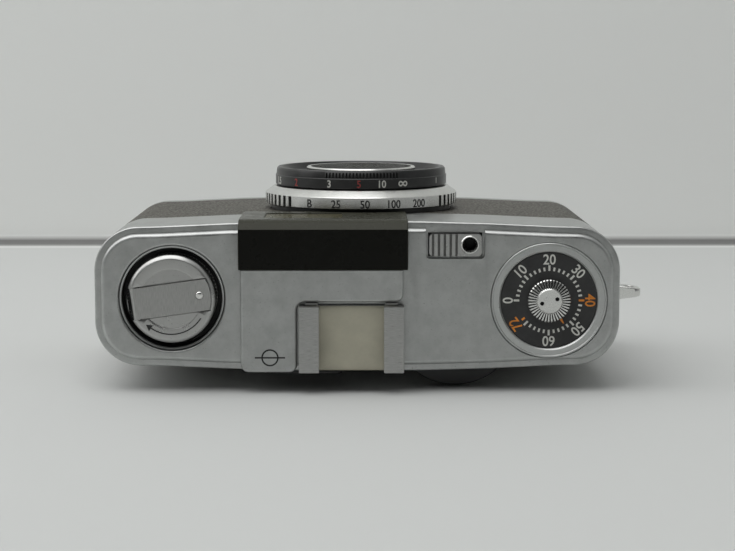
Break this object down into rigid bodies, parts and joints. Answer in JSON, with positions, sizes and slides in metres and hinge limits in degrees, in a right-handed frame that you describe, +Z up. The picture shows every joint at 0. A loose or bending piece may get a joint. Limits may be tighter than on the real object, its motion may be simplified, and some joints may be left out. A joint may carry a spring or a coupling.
{
  "type": "half frame camera",
  "caption": "Compact half frame 35 mm film camera with a zone focusing lens, thumb wheel film advance, rewind crank, frame counter and accessory shoe.",
  "frame": {"origin": "mouth of the tripod socket, on the base plane directly under the lens axis", "axes": "+Z up out of the top plate, -Y out of the lens, +X towards the end with the rewind crank"},
  "size_m": [0.1127, 0.0441, 0.07],
  "materials": {
    "satin_metal": "satin chrome over pressed metal",
    "bright_metal": "polished",
    "brushed_metal": "turned and brushed",
    "inner_steel": "plain",
    "dark_casting": "matt black paint",
    "black_enamel": "satin black enamel",
    "black_plastic": "moulded",
    "smoked_plastic": "smoked, slightly see-through",
    "shoe_cream": "aged cream paint",
    "leatherette": "grained",
    "clear_glass": "coated",
    "brass": "cut gear brass",
    "bare_metal": "machined",
    "blade_steel": "blackened",
    "felt": "felt",
    "orange_paint": "satin"
  },
  "bodies": {
    "camera": {"main_casting": "dark_casting", "floor_plate": "dark_casting", "deck_plate": "dark_casting", "film_gate": "dark_casting", "top_cover": "satin_metal", "finder_cover": "satin_metal", "finder_bezel": "smoked_plastic", "finder_window": "clear_glass", "finder_tube": "black_enamel", "eyepiece_frame": "black_plastic", "eyepiece_lens": "clear_glass", "accessory_shoe": "brushed_metal", "shoe_floor": "shoe_cream", "counter_dial": "black_enamel", "counter_bezel": "bright_metal", "rewind_cup": "bright_metal", "leather_left": "leatherette", "leather_right": "leatherette", "lens_mount": "black_enamel", "shutter_housing": "dark_casting", "rear_element": "clear_glass", "flash_socket": "bright_metal", "strap_lug": "bright_metal", "lug_washer": "bright_metal", "tripod_socket": "brushed_metal", "light_seal": "felt", "cover_screws": "bright_metal", "release_guide": "dark_casting", "button_spring": "inner_steel"},
    "rewind": {"rewind_knob": "brushed_metal", "rewind_shaft": "inner_steel", "crank_pin": "brushed_metal"},
    "crank": {"rewind_crank": "brushed_metal", "crank_rivet": "brushed_metal"},
    "wheel": {"thumb_wheel": "black_plastic", "wheel_shaft": "inner_steel", "sprocket": "bare_metal", "drive_gear": "brass"},
    "idler": {"idler_gear": "brass"},
    "takeup": {"takeup_spool": "black_plastic", "spool_gear": "brass"},
    "counter": {"counter_knob": "brushed_metal", "counter_pointer": "orange_paint", "counter_wheel": "brass"},
    "release": {"release_button": "brushed_metal", "release_rod": "inner_steel"},
    "speed": {"speed_ring": "bright_metal"},
    "focus": {"focus_ring": "black_enamel"},
    "front": {"front_cell": "black_enamel", "front_element": "clear_glass"},
    "aperture": {"aperture_ring": "bright_metal"},
    "shutter_a": {"shutter_blade_a": "blade_steel"},
    "shutter_b": {"shutter_blade_b": "blade_steel"},
    "iris_a": {"aperture_blade_a": "blade_steel"},
    "iris_b": {"aperture_blade_b": "blade_steel"},
    "back": {"back_shell": "satin_metal", "back_leather": "leatherette", "pressure_plate": "black_enamel"},
    "key": {"lock_key": "brushed_metal"},
    "rewind_button": {"rewind_release": "brushed_metal"}
  },
  "joints": [
    {"name": "rewind_turn", "type": "hinge", "parent": "camera", "child": "rewind", "pos_m": [0.03885, 0.0002, 0.064], "axis": [0, 0, -1], "continuous": true},
    {"name": "crank_fold", "type": "hinge", "parent": "rewind", "child": "crank", "pos_m": [0.04608, 0.0012, 0.0673], "axis": [-0.1374, 0.9905, 0], "range_deg": [0, 120]},
    {"name": "wheel_turn", "type": "hinge", "parent": "camera", "child": "wheel", "pos_m": [-0.0196, 0.0059, 0.058], "axis": [0, 0, 1], "continuous": true},
    {"name": "idler_turn", "type": "hinge", "parent": "camera", "child": "idler", "pos_m": [-0.02963, 0.00314, 0.055], "axis": [0, 0, 1], "continuous": true},
    {"name": "takeup_turn", "type": "hinge", "parent": "camera", "child": "takeup", "pos_m": [-0.0385, 0.0007, 0.03], "axis": [0, 0, 1], "continuous": true},
    {"name": "counter_turn", "type": "hinge", "parent": "camera", "child": "counter", "pos_m": [-0.0385, 0.0007, 0.062], "axis": [0, 0, 1], "continuous": true},
    {"name": "release_press", "type": "slide", "parent": "camera", "child": "release", "axis": [0, 0, -1], "range_m": [0, 0.0025], "stiffness_N_per_m": 300, "springref_m": -0.0015, "deforming": ["button_spring"]},
    {"name": "speed_select", "type": "hinge", "parent": "camera", "child": "speed", "pos_m": [0, -0.01765, 0.029], "axis": [0, -1, 0], "range_deg": [-33.6, 33.7]},
    {"name": "focus_turn", "type": "hinge", "parent": "camera", "child": "focus", "pos_m": [0, -0.01765, 0.029], "axis": [0, -1, 0], "range_deg": [-29.5, 217]},
    {"name": "front_focus", "type": "slide", "parent": "camera", "child": "front", "axis": [0, -1, 0], "range_m": [-0.0002, 0.00135]},
    {"name": "aperture_turn", "type": "hinge", "parent": "camera", "child": "aperture", "pos_m": [0, -0.01765, 0.029], "axis": [0, -1, 0], "range_deg": [-40, 60]},
    {"name": "iris_a_turn", "type": "hinge", "parent": "camera", "child": "iris_a", "pos_m": [-0.0106, -0.01335, 0.029], "axis": [0, -1, 0], "range_deg": [-16.5, 24.5]},
    {"name": "iris_b_turn", "type": "hinge", "parent": "camera", "child": "iris_b", "pos_m": [0.0106, -0.01275, 0.029], "axis": [0, -1, 0], "range_deg": [-16.5, 24.5]},
    {"name": "shutter_a_turn", "type": "hinge", "parent": "camera", "child": "shutter_a", "pos_m": [0, -0.01455, 0.0396], "axis": [0, -1, 0], "range_deg": [0, 40]},
    {"name": "shutter_b_turn", "type": "hinge", "parent": "camera", "child": "shutter_b", "pos_m": [0, -0.01395, 0.0184], "axis": [0, -1, 0], "range_deg": [0, 40]},
    {"name": "back_slide", "type": "slide", "parent": "camera", "child": "back", "axis": [0, 0, -1], "range_m": [0, 0.052]},
    {"name": "key_turn", "type": "hinge", "parent": "back", "child": "key", "pos_m": [0.03885, 0, 0.001], "axis": [0, 0, -1], "range_deg": [0, 90]},
    {"name": "rewind_button_press", "type": "slide", "parent": "camera", "child": "rewind_button", "axis": [0, 0, 1], "range_m": [0, 0.0015], "stiffness_N_per_m": 300, "springref_m": -0.001}
  ],
  "couplings": [
    {"joint": "idler_turn", "follows": "wheel_turn", "ratio": -1.3636},
    {"joint": "takeup_turn", "follows": "wheel_turn", "ratio": 1.25},
    {"joint": "counter_turn", "follows": "wheel_turn", "ratio": -0.025},
    {"joint": "front_focus", "follows": "focus_turn", "m_per_rad": 0.00035},
    {"joint": "iris_a_turn", "follows": "aperture_turn", "ratio": 0.4},
    {"joint": "iris_b_turn", "follows": "aperture_turn", "ratio": 0.4},
    {"joint": "shutter_b_turn", "follows": "shutter_a_turn", "ratio": 1}
  ]
}
